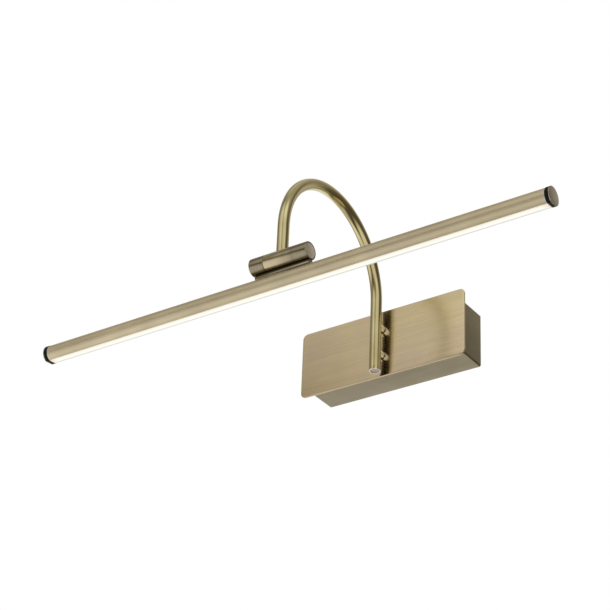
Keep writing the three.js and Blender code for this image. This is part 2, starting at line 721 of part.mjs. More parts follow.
function outerKnuckle(side) {
  const inner = KNUCKLE_SEAM_X + SEAM_HALF;
  const body = turned('x', [
    [0, inner],
    [BARREL_R - EDGE_BREAK, inner],
    [BARREL_R, inner + EDGE_BREAK],
    [BARREL_R, BARREL_HALF - END_BREAK],
    [BARREL_R - END_BREAK, BARREL_HALF],
    [0, BARREL_HALF],
  ], barrelAxis, 48);
  const holeTop = HEAD_SCREW_TIP_Z + 0.5;
  const screwHole = rod('z', HEAD_SCREW_HOLE_R, -BARREL_R - OVERRUN, holeTop, headScrewAt(1), 20);
  let knuckle = body
    .subtract(rod('x', PIVOT_HOLE_R, inner - OVERRUN, BARREL_HALF, barrelAxis))
    .subtract(rod('x', BARREL_R - 1, inner - OVERRUN, inner + WASHER_SEAT, barrelAxis))
    .subtract(rod('x', CHAMBER_R, CHAMBER_X, BARREL_HALF, barrelAxis))
    .subtract(rod('x', CAP_SEAT_R, CAP_SEAT_X, BARREL_HALF + OVERRUN, barrelAxis, 48))
    .subtract(screwHole);
  if (side > 0) {
    knuckle = knuckle.subtract(rod('z', LEAD_HOLE_R, -BARREL_R - OVERRUN, 0, leadExitAt, 20));
  }
  return toSide(knuckle, side);
}

function barrelCap(side) {
  const outer = BARREL_HALF - CAP_SUNK;
  const radius = CAP_SEAT_R - GAP;
  const cap = turned('x', [
    [0, CAP_SEAT_X + GAP],
    [radius, CAP_SEAT_X + GAP],
    [radius, outer - CAP_BREAK],
    [radius - CAP_BREAK, outer],
    [0, outer],
  ], barrelAxis, 48);
  return toSide(cap, side);
}

function frictionWasher(side) {
  const start = KNUCKLE_SEAM_X - SEAM_HALF + GAP;
  const end = KNUCKLE_SEAM_X + SEAM_HALF + WASHER_SEAT - GAP;
  return toSide(ring('x', BARREL_R - 1 - GAP, PIVOT_HOLE_R, start, end, barrelAxis, 32), side);
}

for (const [label, side] of [['left', -1], ['right', 1]]) {
  addPiece(head, `${label}_knuckle`, outerKnuckle(side), 'brass');
  addPiece(head, `${label}_barrel_cap`, barrelCap(side), 'brassDark');
  addPiece(head, `${label}_friction_washer`, frictionWasher(side), 'black');
}

// The left pivot is a shouldered bolt; the right one is hollow and passes the lead.
const headSeatX = CHAMBER_X + GAP;
const boltShank = rod('x', PIVOT_R, PIVOT_INNER_X, headSeatX + 0.1, barrelAxis);
const boltHead = rod('x', HEX_R, headSeatX, headSeatX + BOLT_HEAD_T, barrelAxis, 6);
addPiece(head, 'left_pivot_bolt', toSide(boltShank.add(boltHead), -1), 'steel');
const pivotNipple = ring('x', PIVOT_R, PIVOT_BORE_R, PIVOT_INNER_X, PIVOT_NIPPLE_END_X, barrelAxis);
addPiece(head, 'right_pivot_nipple', pivotNipple, 'steel');
const pivotNut = rod('x', HEX_R, headSeatX, PIVOT_NIPPLE_END_X - GAP, barrelAxis, 6)
  .subtract(rod('x', PIVOT_HOLE_R, CHAMBER_X - OVERRUN, PIVOT_NIPPLE_END_X + OVERRUN, barrelAxis));
addPiece(head, 'right_pivot_nut', pivotNut, 'steel');

function mountBar() {
  const x0 = BAR_X0 - OVERRUN;
  const x1 = BAR_X1 + OVERRUN;
  const low = -HEAD_DROP + HEAD_FLAT - 1;
  const foot = box(BAR_X0, BAR_X1, -BAR_DEPTH / 2, BAR_DEPTH / 2, low, BAR_SHOULDER_Z);
  const neck = box(BAR_X0, BAR_X1, -BAR_NECK_DEPTH / 2, BAR_NECK_DEPTH / 2, low, -BARREL_R + 1);
  let bar = foot
    .add(neck)
    .subtract(rod('x', BARREL_R + GAP, x0, x1, barrelAxis, 72))
    .subtract(rod('x', HEAD_R + GAP, x0, x1, tubeAxis, 72));
  for (const side of [-1, 1]) {
    bar = bar.subtract(rod('z', HEAD_SCREW_HOLE_R, -HEAD_DROP, 0, headScrewAt(side), 20));
  }
  return bar.subtract(rod('z', LEAD_HOLE_R, -HEAD_DROP, 0, leadExitAt, 20));
}
addPiece(head, 'mount_bar', mountBar(), 'brassDark');

// ---------------------------------------------------------------- LED head

const flatHalf = Math.sqrt(HEAD_R ** 2 - HEAD_FLAT ** 2);
const innerR = HEAD_R - HEAD_WALL;
const chordAt = (radius, z) => Math.sqrt(radius ** 2 - z ** 2);
const slotHalf = flatHalf - LIP_W;
const lipTop = -HEAD_FLAT + LIP_T;
const shelfTop = BOARD_Z - GAP;
const upperShelf = BOARD_Z + BOARD_T + GAP;

function arcPoints(radius, fromAngle, toAngle, steps) {
  return Array.from({ length: steps + 1 }, (_, i) => {
    const angle = fromAngle + (toAngle - fromAngle) * i / steps;
    return new THREE.Vector2(radius * Math.cos(angle), radius * Math.sin(angle));
  });
}

// Right half of the extruded tube's inner outline, from the lip up to the crown.
function innerHalf() {
  const corner = (z) => new THREE.Vector2(chordAt(innerR, z), z);
  const ledge = (z) => new THREE.Vector2(SHELF_IN, z);
  const start = Math.atan2(upperShelf + SHELF_T, chordAt(innerR, upperShelf + SHELF_T));
  return [
    new THREE.Vector2(slotHalf, -HEAD_FLAT),
    new THREE.Vector2(slotHalf, lipTop),
    corner(lipTop),
    corner((lipTop + shelfTop - SHELF_T) / 2),
    corner(shelfTop - SHELF_T),
    ledge(shelfTop - SHELF_T),
    ledge(shelfTop),
    corner(shelfTop),
    corner(upperShelf),
    ledge(upperShelf),
    ledge(upperShelf + SHELF_T),
    ...arcPoints(innerR, start, QUARTER_TURN, 14),
  ];
}

function tubeOutline() {
  const flatAngle = Math.atan2(-HEAD_FLAT, flatHalf);
  const outer = arcPoints(HEAD_R, Math.PI - flatAngle, flatAngle, 52);
  const right = innerHalf();
  const left = right.slice(0, -1).map((p) => new THREE.Vector2(-p.x, p.y)).reverse();
  return [...outer, ...right, ...left];
}

const onTube = (points) => points.map((p) => new THREE.Vector2(p.x, p.y - HEAD_DROP));

function headTube() {
  let tube = extrusion(onTube(tubeOutline()), -TUBE_HALF, TUBE_HALF);
  const holeLow = -HEAD_DROP + HEAD_R / 2;
  for (const side of [-1, 1]) {
    tube = tube.subtract(rod('z', HEAD_SCREW_HOLE_R, holeLow, 0, headScrewAt(side), 20));
  }
  return tube.subtract(rod('z', LEAD_HOLE_R, holeLow, 0, leadExitAt, 20));
}
addPiece(head, 'head_tube', headTube(), 'brass');

function diffuser() {
  const faceHalf = slotHalf - GAP;
  const flangeHalf = chordAt(innerR, lipTop) - GAP;
  const flangeLow = lipTop + GAP;
  const right = [
    new THREE.Vector2(faceHalf - DIFFUSER_EDGE, -HEAD_FLAT - DIFFUSER_PROUD),
    new THREE.Vector2(faceHalf, -HEAD_FLAT - DIFFUSER_PROUD + DIFFUSER_EDGE),
    new THREE.Vector2(faceHalf, flangeLow),
    new THREE.Vector2(flangeHalf, flangeLow),
    new THREE.Vector2(flangeHalf, flangeLow + DIFFUSER_FLANGE_T),
  ];
  const left = right.map((p) => new THREE.Vector2(-p.x, p.y)).reverse();
  return extrusion(onTube([...right, ...left]), -TUBE_HALF + 0.5, TUBE_HALF - 0.5);
}
addPiece(head, 'diffuser', diffuser(), 'opal');

function ledBoard() {
  const half = chordAt(innerR, upperShelf) - 2 * GAP;
  const z0 = BOARD_Z - HEAD_DROP;
  let board = box(-TUBE_HALF + 2, TUBE_HALF - 2, -half, half, z0, z0 + BOARD_T);
  const count = Math.floor((TUBE_HALF - 8) / CHIP_PITCH);
  for (let i = -count; i <= count; i += 1) {
    const x = i * CHIP_PITCH;
    board = board.add(box(
      x - CHIP_HALF_W, x + CHIP_HALF_W, -CHIP_HALF_H, CHIP_HALF_H, z0 - CHIP_T, z0 + 0.1,
    ));
  }
  return board;
}
addPiece(head, 'led_board', ledBoard(), 'white');

// Outline shared by the end caps and gaskets: the tube's, grown all round.
function endOutline(grow) {
  const radius = HEAD_R + grow;
  const flat = -HEAD_FLAT - grow;
  const angle = Math.asin(flat / radius);
  return onTube(arcPoints(radius, Math.PI - angle, angle, 44));
}

function endCap(side) {
  const start = TUBE_HALF + GAP + GASKET_T + GAP;
  const shape = new THREE.Shape(endOutline(CAP_GROW));
  const geometry = new THREE.ExtrudeGeometry(shape, {
    depth: CAP_T - 2 * CAP_EDGE,
    bevelThickness: CAP_EDGE,
    bevelSize: CAP_EDGE,
    bevelOffset: -CAP_EDGE,
    bevelSegments: 1,
  });
  const basis = new THREE.Matrix4().makeBasis(
    new THREE.Vector3(0, 1, 0),
    new THREE.Vector3(0, 0, 1),
    new THREE.Vector3(1, 0, 0),
  );
  geometry.applyMatrix4(basis);
  geometry.translate(start + CAP_EDGE, 0, 0);
  return toSide(toSolid(geometry), side);
}

function capGasket(side) {
  const start = TUBE_HALF + GAP;
  const flange = extrusion(endOutline(GASKET_GROW), start, start + GASKET_T);
  const spigotHalf = chordAt(innerR, upperShelf) - 2.5;
  const floor = upperShelf + SHELF_T + GAP - HEAD_DROP;
  const spigot = box(
    start - SPIGOT_RUN, start + 0.1, -spigotHalf, spigotHalf, floor, floor + SPIGOT_H,
  );
  return toSide(flange.add(spigot), side);
}

for (const [label, side] of [['left', -1], ['right', 1]]) {
  addPiece(head, `${label}_cap_gasket`, capGasket(side), 'black');
  addPiece(head, `${label}_end_cap`, endCap(side), 'brassDark');
}

for (const [label, side] of [['left', -1], ['right', 1]]) {
  const seat = -HEAD_DROP + chordAt(innerR, HEAD_SCREW_HEAD_R) - GAP;
  const top = seat - HEAD_SCREW_HEAD_T;
  const barScrew = screw(
    'z', HEAD_SCREW_R, HEAD_SCREW_HEAD_R, HEAD_SCREW_TIP_Z, seat, top, headScrewAt(side),
  );
  addPiece(head, `head_screw_${label}`, barScrew, 'steel');
}

const leadFloorZ = -HEAD_DROP + upperShelf + SHELF_T + LEAD_R + 2 * GAP;
const headLeadPath = routed([
  { at: new THREE.Vector3(LEAD_MEET_X + GAP, 0, 0) },
  { at: new THREE.Vector3(LEAD_EXIT_X, 0, 0), bend: LEAD_BEND_R - 1 },
  { at: new THREE.Vector3(LEAD_EXIT_X, 0, leadFloorZ), bend: LEAD_BEND_R - 1 },
  { at: new THREE.Vector3(LEAD_EXIT_X + 32, 0, leadFloorZ) },
], 6);
addPiece(head, 'head_lead', swept(headLeadPath, LEAD_R, 10), 'black');

export default lamp;
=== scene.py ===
import json
import math

import bmesh
import bpy
from mathutils import Matrix, Vector


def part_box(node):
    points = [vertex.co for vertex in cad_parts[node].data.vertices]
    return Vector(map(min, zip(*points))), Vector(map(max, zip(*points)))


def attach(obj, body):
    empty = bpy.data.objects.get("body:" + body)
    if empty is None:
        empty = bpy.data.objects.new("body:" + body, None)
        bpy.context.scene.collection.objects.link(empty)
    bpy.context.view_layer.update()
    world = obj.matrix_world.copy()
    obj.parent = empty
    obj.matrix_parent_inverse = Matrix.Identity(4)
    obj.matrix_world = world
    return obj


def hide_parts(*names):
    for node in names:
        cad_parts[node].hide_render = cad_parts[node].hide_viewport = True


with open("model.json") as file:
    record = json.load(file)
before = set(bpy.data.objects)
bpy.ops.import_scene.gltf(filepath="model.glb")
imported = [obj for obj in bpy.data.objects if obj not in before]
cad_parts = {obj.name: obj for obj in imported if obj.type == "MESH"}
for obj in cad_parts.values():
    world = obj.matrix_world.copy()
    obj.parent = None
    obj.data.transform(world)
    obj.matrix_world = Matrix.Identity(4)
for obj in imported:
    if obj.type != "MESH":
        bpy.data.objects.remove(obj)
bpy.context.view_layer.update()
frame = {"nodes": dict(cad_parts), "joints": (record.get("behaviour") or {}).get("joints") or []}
nodes = frame["nodes"]
scene = bpy.context.scene
MM = 0.001

# ------------------------------------------------------------ light and camera settings

# The studio's even level, then its lobes: the direction each comes from, its inner and outer
# angle in degrees, and the brightness it adds.
STUDIO_FLOOR = 0.12
STUDIO_LOBES = [
    ((-0.78, -0.48, -0.46), 14, 50, 1.0),
    ((-0.28, -0.74, 0.61), 8, 34, 0.68),
    ((-0.85, -0.10, 0.5), 8, 40, 0.24),
    ((0.05, -0.85, 0.5), 6, 32, 0.26),
    ((0.7, -0.5, 0.53), 8, 36, 0.72),
    ((-0.6, 0.65, -0.5), 12, 60, 0.66),
    ((0.6, -0.6, -0.5), 14, 55, 0.90),
    ((-0.2, 0.9, 0.35), 10, 60, 0.50),
    ((0.6, 0.6, 0.53), 8, 40, 0.04),
    ((0.3, -0.1, 0.95), 8, 48, 0.40),
    ((-0.30, 0.15, 0.94), 8, 30, 0.24),
]
# The studio's light is warm where it is as dim as the first level, near white at the second.
TINT_LEVELS = (0.1, 0.9)
DIM_TINT = (1.0, 0.9, 0.64)
BRIGHT_TINT = (1.0, 1.0, 0.97)

FLOOR_Z = -2.4
FLOOR_HALF = 9

# The camera backs off from the origin and is slid to the right and up in its own view.
CAMERA_AZIMUTH = math.radians(35.236)
CAMERA_ELEVATION = math.radians(-30.239)
CAMERA_ROLL = math.radians(2.498)
CAMERA_DISTANCE = 2.11894
CAMERA_LENS = 117.886
CAMERA_SENSOR = 36
CAMERA_CLIP = (0.05, 40)
AIM_RIGHT = -0.105633
AIM_UP = 0.060981

# ------------------------------------------------------------ places taken from the frame

# The head leans by HEAD_TILT at rest, about the pivot.
PIVOT = Vector(frame["joints"][0]["pos_m"])
HEAD_TILT = math.radians(6)
HEAD_TURN = Matrix.Translation(PIVOT) @ Matrix.Rotation(HEAD_TILT, 4, "X")

arm_low, arm_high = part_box("arm_tube")
ARM_R = (arm_high.x - arm_low.x) / 2
ARM_BACK_Y = arm_high.y - ARM_R
ARM_FRONT_Y = arm_low.y + ARM_R
ARM_BEND_R = (ARM_BACK_Y - ARM_FRONT_Y) / 2
ARM_BEND_Z = arm_high.z - ARM_R - ARM_BEND_R
ARM_BOTTOM_Z = arm_low.z
ARM_WALL = 1.0 * MM

plate_low, plate_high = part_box("front_plate")
box_low, box_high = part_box("box_shell")
knuckle_low, knuckle_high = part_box("centre_knuckle")
SEAM = knuckle_high.x
BARREL_R = (knuckle_high.y - knuckle_low.y) / 2
outer_low, outer_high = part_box("right_knuckle")
BARREL_HALF = outer_high.x
bar_low, bar_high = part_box("mount_bar")
tube_low, tube_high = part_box("head_tube")
TUBE_HALF = tube_high.x
HEAD_R = (tube_high.y - tube_low.y) / 2
STRIP_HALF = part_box("diffuser")[1].x

# The head's D section: its centre hangs below the pivot, and its flat lies below its centre.
HEAD_DROP = 24.25 * MM
HEAD_FLAT = 8.0 * MM
FLAT_HALF = math.sqrt(HEAD_R ** 2 - HEAD_FLAT ** 2)
FLAT_ANGLE = math.asin(HEAD_FLAT / HEAD_R)
RIM_W = 2.0 * MM
LIP_W = 0.5 * MM

# ------------------------------------------------------------ mesh helpers

# Sharpness is the angle in degrees above which an edge stays sharp.
SHARP, ARM_SHARP = 32, 40
EDGE_STEPS = 4
FINE_SIDES, SEAT_SIDES, PLAIN_SIDES = 128, 96, 64


def smoothed(mesh, sharp):
    mesh.shade_smooth()
    mesh.set_sharp_from_angle(angle=math.radians(sharp))


def new_object(name, verts, faces, sharp=SHARP):
    """A mesh object, smooth but for edges that turn by more than sharp degrees; None is flat."""
    mesh = bpy.data.meshes.new(name)
    mesh.from_pydata([tuple(v) for v in verts], [], faces)
    mesh.validate()
    bm = bmesh.new()
    bm.from_mesh(mesh)
    bmesh.ops.recalc_face_normals(bm, faces=bm.faces)
    bm.to_mesh(mesh)
    bm.free()
    obj = bpy.data.objects.new(name, mesh)
    scene.collection.objects.link(obj)
    if sharp is not None:
        smoothed(mesh, sharp)
    return obj


def bridge(loops, cyclic=False):
    """Vertices and faces of a skin over loops of equal length: a closed ring, or capped."""
    count = len(loops[0])
    last = len(loops) - 1
    verts = [p for loop in loops for p in loop]
    pairs = [(k, k + 1) for k in range(last)] + ([(last, 0)] if cyclic else [])
    faces = []
    for a, b in pairs:
        for i in range(count):
            j = (i + 1) % count
            faces.append((a * count + i, a * count + j, b * count + j, b * count + i))
    if not cyclic:
        faces.append(tuple(range(count)))
        faces.append(tuple(last * count + i for i in range(count)))
    return verts, faces


def turned(name, axis, profile, centre, sides):
    """A turned solid: profile is (radius, position along the axis) from axis to axis."""
    index = "xyz".index(axis)
    others = [i for i in range(3) if i != index]
    verts, faces, rings = [], [], []
    for radius, along in profile:
        ring = []
        for s in range(sides if radius > 0 else 1):
            angle = 2 * math.pi * s / sides
            p = [0.0, 0.0, 0.0]
            p[index] = along
            p[others[0]] = centre[others[0]] + radius * math.cos(angle)
            p[others[1]] = centre[others[1]] + radius * math.sin(angle)
            ring.append(len(verts))
            verts.append(p)
        rings.append(ring)
    for a, b in zip(rings, rings[1:]):
        for s in range(sides):
            t = (s + 1) % sides
            if len(a) == 1:
                faces.append((a[0], b[t], b[s]))
            elif len(b) == 1:
                faces.append((a[s], a[t], b[0]))
            else:
                faces.append((a[s], a[t], b[t], b[s]))
    return new_object(name, verts, faces)


def rounded_corners(profile, radius):
    """Rounds the inner corners of an open polyline of (radius, position) points."""
    largest_share = 0.45
    out = [profile[0]]
    for before, here, after in zip(profile, profile[1:], profile[2:]):
        corner = Vector(here)
        back, ahead = Vector(before) - corner, Vector(after) - corner
        cut = min(radius, back.length * largest_share, ahead.length * largest_share)
        start, end = corner + back.normalized() * cut, corner + ahead.normalized() * cut
        for i in range(EDGE_STEPS + 1):
            t = i / EDGE_STEPS
            point = start * (1 - t) ** 2 + corner * 2 * t * (1 - t) + end * t ** 2
            out.append((point.x, point.y))
    out.append(profile[-1])
    return out


def soft_turned(name, axis, profile, centre, radius, sides):
    return turned(name, axis, rounded_corners(profile, radius), centre, sides)


def rolled_edge(radius, steps):
    """(inset, depth) pairs of a quarter turn that rolls an edge over, from face to side."""
    angles = [math.pi / 2 * k / steps for k in range(steps + 1)]
    return [(radius * (1 - math.sin(a)), radius * (1 - math.cos(a))) for a in angles]


def prism_x(name, outline, x0, x1, edge, transform, steps=3):
    """An outline of (y, z) run along X with rounded ends; edge is the rounding radius."""
    count = len(outline)
    centre = Vector((sum(p[0] for p in outline), sum(p[1] for p in outline))) / count
    normals = []
    for i, p in enumerate(outline):
        a, b = Vector(outline[i - 1]), Vector(outline[(i + 1) % count])
        tangent = (b - a).normalized()
        normal = Vector((tangent.y, -tangent.x))
        if normal.dot(Vector(p) - centre) < 0:
            normal = -normal
        normals.append(normal)
    loops = []
    for end, sign in ((x0, 1), (x1, -1)):
        ends = [
            [(end + sign * depth, p[0] - n.x * inset, p[1] - n.y * inset) for p, n in zip(outline, normals)]
            for inset, depth in rolled_edge(edge, steps)
        ]
        loops += ends if sign > 0 else ends[::-1]
    obj = new_object(name, *bridge(loops))
    obj.data.transform(transform)
    return obj


def rounded_rect(width, height, radius, steps=10):
    """(x, z) points of a rounded rectangle round the origin."""
    points = []
    corners = [
        (width / 2 - radius, height / 2 - radius, 0),
        (-width / 2 + radius, height / 2 - radius, 1),
        (-width / 2 + radius, -height / 2 + radius, 2),
        (width / 2 - radius, -height / 2 + radius, 3),
    ]
    for cx, cz, quarter in corners:
        for i in range(steps + 1):
            angle = math.pi / 2 * (quarter + i / steps)
            points.append((cx + radius * math.cos(angle), cz + radius * math.sin(angle)))
    return points


def evaluated(obj):
    """Applies the object's modifiers to its mesh."""
    bpy.context.view_layer.update()
    depsgraph = bpy.context.evaluated_depsgraph_get()
    mesh = bpy.data.meshes.new_from_object(obj.evaluated_get(depsgraph))
    obj.modifiers.clear()
    old = obj.data
    obj.data = mesh
    bpy.data.meshes.remove(old)
    smoothed(mesh, SHARP)
    return obj


def carve(obj, *cutters):
    """Cuts the cutters out of an object and deletes them."""
    for cutter in cutters:
        modifier = obj.modifiers.new("carve", "BOOLEAN")
        modifier.operation = "DIFFERENCE"
        modifier.solver = "EXACT"
        modifier.object = cutter
    evaluated(obj)
    for cutter in cutters:
        data = cutter.data
        bpy.data.objects.remove(cutter)
        bpy.data.meshes.remove(data)
    return obj


def softened(obj, width, angle=40):
    """Rounds every edge of an object that turns by more than an angle in degrees."""
    bevel = obj.modifiers.new("edge", "BEVEL")
    bevel.width = width
    bevel.segments = 2
    bevel.limit_method = "ANGLE"
    bevel.angle_limit = math.radians(angle)
    return evaluated(obj)


def rod(axis, radius, start, end, centre, sides=PLAIN_SIDES):
    """A round cutter."""
    return turned("cutter", axis, [(0, start), (radius, start), (radius, end), (0, end)], centre, sides)


def block(x0, x1, y0, y1, z0, z1):
    """A square cutter."""
    loops = [[(x0, y, z0), (x1, y, z0), (x1, y, z1), (x0, y, z1)] for y in (y0, y1)]
    return new_object("cutter", *bridge(loops), sharp=None)


# ------------------------------------------------------------ material helpers

def shader(name):
    material = bpy.data.materials.new(name)
    material.use_nodes = True
    tree = material.node_tree
    return material, tree, tree.nodes["Principled BSDF"]


def add(tree, kind, **settings):
    node = tree.nodes.new(kind)
    for key, value in settings.items():
        setattr(node, key, value)
    return node


def noise(tree, vector, scale, detail, roughness=0.55):
    node = add(tree, "ShaderNodeTexNoise")
    node.inputs["Scale"].default_value = scale
    node.inputs["Detail"].default_value = detail
    node.inputs["Roughness"].default_value = roughness
    tree.links.new(vector, node.inputs["Vector"])
    return node.outputs["Fac"]


def stretched(tree, scale=(1, 1, 1), source="Object"):
    """Texture coordinates, scaled along each axis."""
    coordinates = add(tree, "ShaderNodeTexCoord")
    mapping = add(tree, "ShaderNodeMapping")
    mapping.inputs["Scale"].default_value = scale
    tree.links.new(coordinates.outputs[source], mapping.inputs["Vector"])
    return mapping.outputs["Vector"]


def apart(tree, vector):
    """The X, Y and Z of a vector, by name."""
    node = add(tree, "ShaderNodeSeparateXYZ")
    tree.links.new(vector, node.inputs[0])
    return node.outputs


def calculated(tree, operation, *values):
    """The result of one Math node over sockets and plain numbers."""
    node = add(tree, "ShaderNodeMath", operation=operation)
    for value, socket in zip(values, node.inputs):
        if isinstance(value, float):
            socket.default_value = value
        else:
            tree.links.new(value, socket)
    return node.outputs[0]


def spread(tree, value, low, high, out_low=0.0, out_high=1.0, kind="LINEAR"):
    """Maps low..high to out_low..out_high and holds the ends."""
    node = add(tree, "ShaderNodeMapRange", interpolation_type=kind)
    node.inputs["From Min"].default_value = low
    node.inputs["From Max"].default_value = high
    node.inputs["To Min"].default_value = out_low
    node.inputs["To Max"].default_value = out_high
    tree.links.new(value, node.inputs["Value"])
    return node.outputs["Result"]


def blended(tree, factor, first, second):
    """A mix of two colours, each a tuple or a socket."""
    node = add(tree, "ShaderNodeMix", data_type="RGBA")
    tree.links.new(factor, node.inputs["Factor"])
    for key, value in (("A", first), ("B", second)):
        socket = [s for s in node.inputs if s.name == key and s.type == "RGBA"][0]
        if isinstance(value, tuple):
            socket.default_value = (*value, 1)
        else:
            tree.links.new(value, socket)
    return [s for s in node.outputs if s.type == "RGBA"][0]


def bumped(tree, bsdf, height, strength, distance):
    node = add(tree, "ShaderNodeBump")
    node.inputs["Strength"].default_value = strength
    node.inputs["Distance"].default_value = distance
    tree.links.new(height, node.inputs["Height"])
    tree.links.new(node.outputs["Normal"], bsdf.inputs["Normal"])


# ------------------------------------------------------------ materials

# WALL_SHADE_NORMAL is the Y of the normal where painted shade starts on a side turned to the wall,
# and where it is full. COARSE_GRAIN is the coarse grain's scale over the fine one's.
RIM_TONE = (0.72, 0.67, 0.58)
# Colour of the painted shade on sides turned to the wall.
WALL_SHADE_TONE = (0.09, 0.07, 0.035)
WALL_SHADE_NORMAL = (0.25, 0.6)
COARSE_GRAIN = 0.27
BRASS_BUMP, COAT_BUMP, OPAL_BUMP = 0.04 * MM, 0.05 * MM, 0.03 * MM


def brushed_brass(name, light, dark, grain, rough, source="Object", streak=0.3, depth=0.25,
                  patina=26.0, rim=None, painted_wall_shade=None, tones_and_shade=()):
    """Antique brass with a brushed grain: grain is the texture scale along X, Y and Z.

    streak is the contrast of the grain, depth its bump and patina the scale of its patches.
    rim is the distance from the middle, along X, beyond which the metal is paler.
    painted_wall_shade is the two heights where painted shade on the side turned to the wall starts and is
    full.
    tones_and_shade lists (axis, place where it starts, place where it is full, tone) of other tones and
    painted shade.
    """
    material, tree, bsdf = shader(name)
    bsdf.inputs["Metallic"].default_value = 1.0
    fine = noise(tree, stretched(tree, grain, source), 1.0, 5.0, 0.62)
    coarse_at = stretched(tree, tuple(g * COARSE_GRAIN for g in grain), source)
    coarse = noise(tree, coarse_at, 1.0, 3.0, 0.5)
    at = stretched(tree)
    cloud = noise(tree, at, patina, 3.0, 0.5)
    place = apart(tree, at)
    base = blended(tree, spread(tree, cloud, 0.32, 0.68), dark, light)
    if rim is not None:
        reach = calculated(tree, "ABSOLUTE", place["X"])
        base = blended(tree, spread(tree, reach, rim, rim + 0.1 * MM), base, RIM_TONE)
    # Bands of other tones, painted shade among them.
    for axis, begins, full, tone in tones_and_shade:
        base = blended(tree, spread(tree, place[axis], begins, full), base, tone)
    # Painted shade: the side turned to the wall is darkened below the given heights.
    if painted_wall_shade is not None:
        normal = apart(tree, add(tree, "ShaderNodeNewGeometry").outputs["Normal"])
        wall_shade_mask = calculated(tree, "MULTIPLY", spread(tree, normal["Y"], *WALL_SHADE_NORMAL),
                            spread(tree, place["Z"], *painted_wall_shade))
        base = blended(tree, wall_shade_mask, base, WALL_SHADE_TONE)
    lines = spread(tree, fine, 0.3, 0.7, 1.0 - streak * 0.45, 1.0 + streak * 0.12)
    wide = spread(tree, coarse, 0.3, 0.7, 1.0 - streak * 0.22, 1.0 + streak * 0.08)
    toned = add(tree, "ShaderNodeVectorMath", operation="SCALE")
    tree.links.new(base, toned.inputs[0])
    tree.links.new(calculated(tree, "MULTIPLY", lines, wide), toned.inputs["Scale"])
    tree.links.new(toned.outputs[0], bsdf.inputs["Base Color"])
    tree.links.new(spread(tree, fine, 0.25, 0.75, rough * 0.8, rough * 1.3), bsdf.inputs["Roughness"])
    bumped(tree, bsdf, fine, depth, BRASS_BUMP)
    return material


def coated(name, colour, second, rough, scale=1400.0, depth=0.12, metallic=0.0, cloud=60.0,
           specular=0.5):
    """A moulded, rubber or plated surface: a fine grain over two close tones."""
    material, tree, bsdf = shader(name)
    bsdf.inputs["Metallic"].default_value = metallic
    bsdf.inputs["Specular IOR Level"].default_value = specular
    at = stretched(tree)
    grain = noise(tree, at, scale, 3.0, 0.6)
    patch = noise(tree, at, cloud, 4.0, 0.6)
    tree.links.new(blended(tree, spread(tree, patch, 0.35, 0.65), colour, second), bsdf.inputs["Base Color"])
    tree.links.new(spread(tree, grain, 0.3, 0.7, rough * 0.85, rough * 1.2), bsdf.inputs["Roughness"])
    bumped(tree, bsdf, grain, depth, COAT_BUMP)
    return material


# The lit strip: two close tones in the middle, then the tones of its front and back edge and
# its ends, each with the UV places where it starts and is full.
OPAL_GLOW = 0.78
OPAL_MIDDLE = ((1.0, 0.975, 0.88), (1.0, 0.985, 0.93))
OPAL_UNLIT = ((0.30, 0.30, 0.28), (0.34, 0.34, 0.32))
OPAL_FRONT = (-0.3, -0.86, (0.92, 0.86, 0.74))
OPAL_BACK = (0.3, 0.7, (0.52, 0.53, 0.53))
OPAL_ENDS = (0.972, 1.0, (0.86, 0.72, 0.60))


def opal(name):
    """Lit opal strip: warm white in the middle, weaker at its two edges and its ends."""
    material, tree, bsdf = shader(name)
    bsdf.inputs["Roughness"].default_value = 0.38
    at = stretched(tree)
    haze = noise(tree, at, 220.0, 3.0, 0.5)
    run = apart(tree, stretched(tree, source="UV"))
    glow = blended(tree, spread(tree, haze, 0.3, 0.7), *OPAL_MIDDLE)
    reach = calculated(tree, "ABSOLUTE", run["X"])
    for value, (begins, full, tone) in ((run["Y"], OPAL_FRONT), (run["Y"], OPAL_BACK), (reach, OPAL_ENDS)):
        glow = blended(tree, spread(tree, value, begins, full), glow, tone)
    tree.links.new(glow, bsdf.inputs["Emission Color"])
    bsdf.inputs["Emission Strength"].default_value = OPAL_GLOW
    tree.links.new(blended(tree, haze, *OPAL_UNLIT), bsdf.inputs["Base Color"])
    bumped(tree, bsdf, noise(tree, at, 2600.0, 2.0), 0.05, OPAL_BUMP)
    return material


# Stretches of another tone: the arm's paler lower end; the barrel's dull left part and its darkening
# towards the right; painted shade on the barrel's underside and on the bar's neck, under the barrel.
# A paler, near-white band at the arm's lower end.
ARM_END_TONE = [("Z", ARM_BOTTOM_Z + 0.6 * MM, ARM_BOTTOM_Z + 0.3 * MM, (0.92, 0.87, 0.80))]
BARREL_DARKER = (0.31, 0.265, 0.185)
BARREL_TONES_AND_SHADE = [
    ("X", -SEAM, -SEAM - 0.3 * MM, BARREL_DARKER),
    # Darker towards the barrel's right end, from 1 mm to 17 mm right of the middle.
    ("X", 1 * MM, 17 * MM, BARREL_DARKER),
    # Painted shade: the barrel's underside, above the bar, is darkened.
    ("Z", PIVOT.z - 7.2 * MM, PIVOT.z - 9.6 * MM, (0.14, 0.11, 0.07)),
]
# Painted shade: the bar's neck, in the gap under the barrel, is darkened nearly to black.
BAR_NECK_SHADE = [("Z", PIVOT.z - 12.4 * MM, PIVOT.z - 11.7 * MM, (0.05, 0.04, 0.025))]
DISC_GRAIN = (200, 240, 1900)

